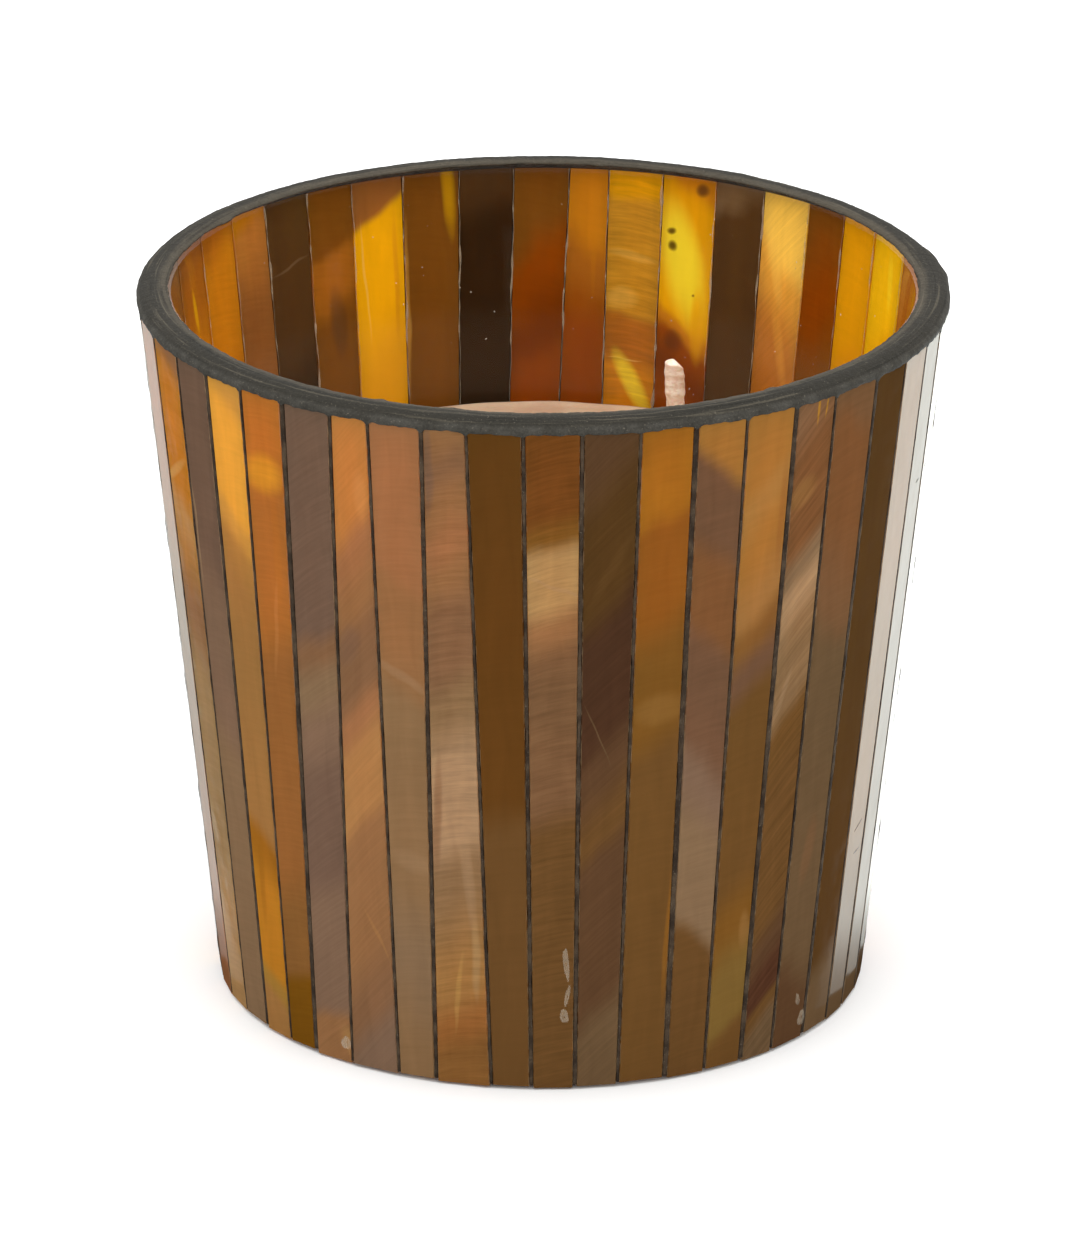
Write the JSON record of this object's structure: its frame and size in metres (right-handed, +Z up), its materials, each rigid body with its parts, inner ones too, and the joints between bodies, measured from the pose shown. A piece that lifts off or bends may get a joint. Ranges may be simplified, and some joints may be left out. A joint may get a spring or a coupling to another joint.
{
  "type": "candle jar",
  "caption": "Tapered glass candle tumbler clad with upright strips of amber and brown stained glass in dark grout, part filled with wax and wicks.",
  "frame": {"origin": "centre of the foot, on the surface the jar stands on", "axes": "+Z up along the jar's axis; -Y is the front, +X is to the right seen from the front"},
  "size_m": [0.1002, 0.1002, 0.0908],
  "materials": {
    "jar_glass": "clear, polished",
    "glass_gold": "streaky gold stained glass, glossy",
    "glass_orange": "streaky orange stained glass, glossy",
    "glass_amber": "streaky amber stained glass, glossy",
    "glass_red_amber": "streaky red-amber stained glass, glossy",
    "glass_tan": "streaky tan stained glass, glossy",
    "glass_brown": "streaky brown stained glass, glossy",
    "glass_umber": "very dark brown stained glass, glossy",
    "glass_mauve": "streaky mauve-brown stained glass, glossy",
    "clear_adhesive": "clear",
    "grout": "fine sandy, matte",
    "wax": "smooth, waxy",
    "waxed_wick": "braided cotton, wax coated",
    "tab_metal": "tinned",
    "sticker_foam": "foam, matte"
  },
  "bodies": {
    "root": {"glass_jar": "jar_glass", "glass_strip_01": "glass_brown", "glass_strip_02": "glass_umber", "glass_strip_03": "glass_amber", "glass_strip_04": "glass_mauve", "glass_strip_05": "glass_amber", "glass_strip_06": "glass_mauve", "glass_strip_07": "glass_tan", "glass_strip_08": "glass_umber", "glass_strip_09": "glass_amber", "glass_strip_10": "glass_tan", "glass_strip_11": "glass_gold", "glass_strip_12": "glass_red_amber", "glass_strip_13": "glass_orange", "glass_strip_14": "glass_orange", "glass_strip_15": "glass_gold", "glass_strip_16": "glass_gold", "glass_strip_17": "glass_brown", "glass_strip_18": "glass_tan", "glass_strip_19": "glass_umber", "glass_strip_20": "glass_gold", "glass_strip_21": "glass_amber", "glass_strip_22": "glass_orange", "glass_strip_23": "glass_red_amber", "glass_strip_24": "glass_umber", "glass_strip_25": "glass_amber", "glass_strip_26": "glass_gold", "glass_strip_27": "glass_red_amber", "glass_strip_28": "glass_umber", "glass_strip_29": "glass_red_amber", "glass_strip_30": "glass_orange", "glass_strip_31": "glass_orange", "glass_strip_32": "glass_brown", "glass_strip_33": "glass_amber", "glass_strip_34": "glass_gold", "glass_strip_35": "glass_mauve", "glass_strip_36": "glass_tan", "glass_strip_37": "glass_orange", "glass_strip_38": "glass_mauve", "glass_strip_39": "glass_gold", "glass_strip_40": "glass_orange", "glass_strip_41": "glass_mauve", "glass_strip_42": "glass_tan", "glass_strip_43": "glass_tan", "glass_strip_44": "glass_tan", "glass_strip_45": "glass_brown", "adhesive_beads": "clear_adhesive", "joint_grout": "grout", "rim_grout": "grout", "candle_wax": "wax", "wick_back_right": "waxed_wick", "wick_left": "waxed_wick", "wick_front": "waxed_wick", "wick_tab_back_right": "tab_metal", "wick_tab_left": "tab_metal", "wick_tab_front": "tab_metal", "wick_stickers": "sticker_foam"}
  },
  "joints": []
}
